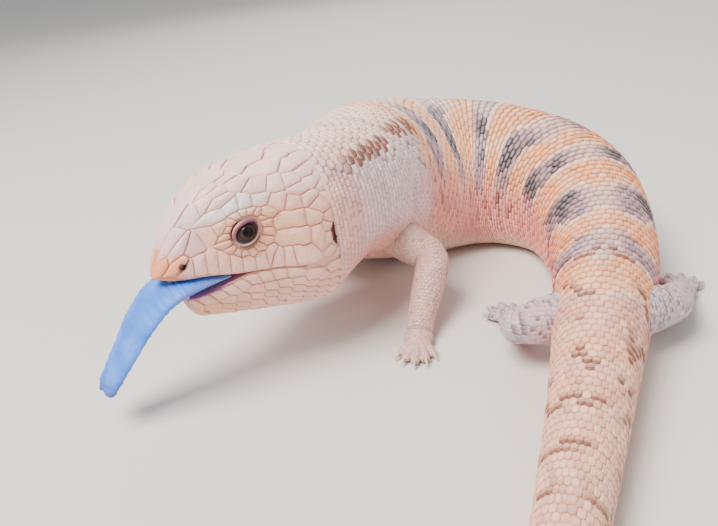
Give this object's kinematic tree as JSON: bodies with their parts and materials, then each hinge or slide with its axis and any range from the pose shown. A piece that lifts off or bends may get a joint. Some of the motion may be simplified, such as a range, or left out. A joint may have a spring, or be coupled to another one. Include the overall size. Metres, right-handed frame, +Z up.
{
  "type": "blue tongued skink model",
  "caption": "Life-size still model of a blue tongued skink, head raised, blue tongue out, body in a bend, tail laid on the ground.",
  "frame": {"origin": "on the flat of the belly, in the middle of the trunk, at the level the animal rests on", "axes": "+Z up; +Y away from the view the head and tail point to; -Y along the laid tail"},
  "size_m": [0.2201, 0.3421, 0.0769],
  "materials": {
    "skin": "pale pink and cream scaled skin, satin",
    "tongue": "moist blue, velvety",
    "eye": "wet, glossy, dark"
  },
  "bodies": {
    "root": {"head": "skin", "lower_jaw": "skin", "tongue": "tongue", "eye_left": "eye", "eye_right": "eye", "neck": "skin", "torso_front": "skin", "torso_mid": "skin", "torso_rear": "skin", "pelvis": "skin", "tail_base": "skin", "tail_mid": "skin", "tail_tip": "skin", "fore_left_upper": "skin", "fore_left_lower": "skin", "fore_left_foot": "skin", "fore_right_upper": "skin", "fore_right_lower": "skin", "fore_right_foot": "skin", "hind_left_upper": "skin", "hind_left_lower": "skin", "hind_left_foot": "skin", "hind_right_upper": "skin", "hind_right_lower": "skin", "hind_right_foot": "skin"}
  },
  "joints": []
}
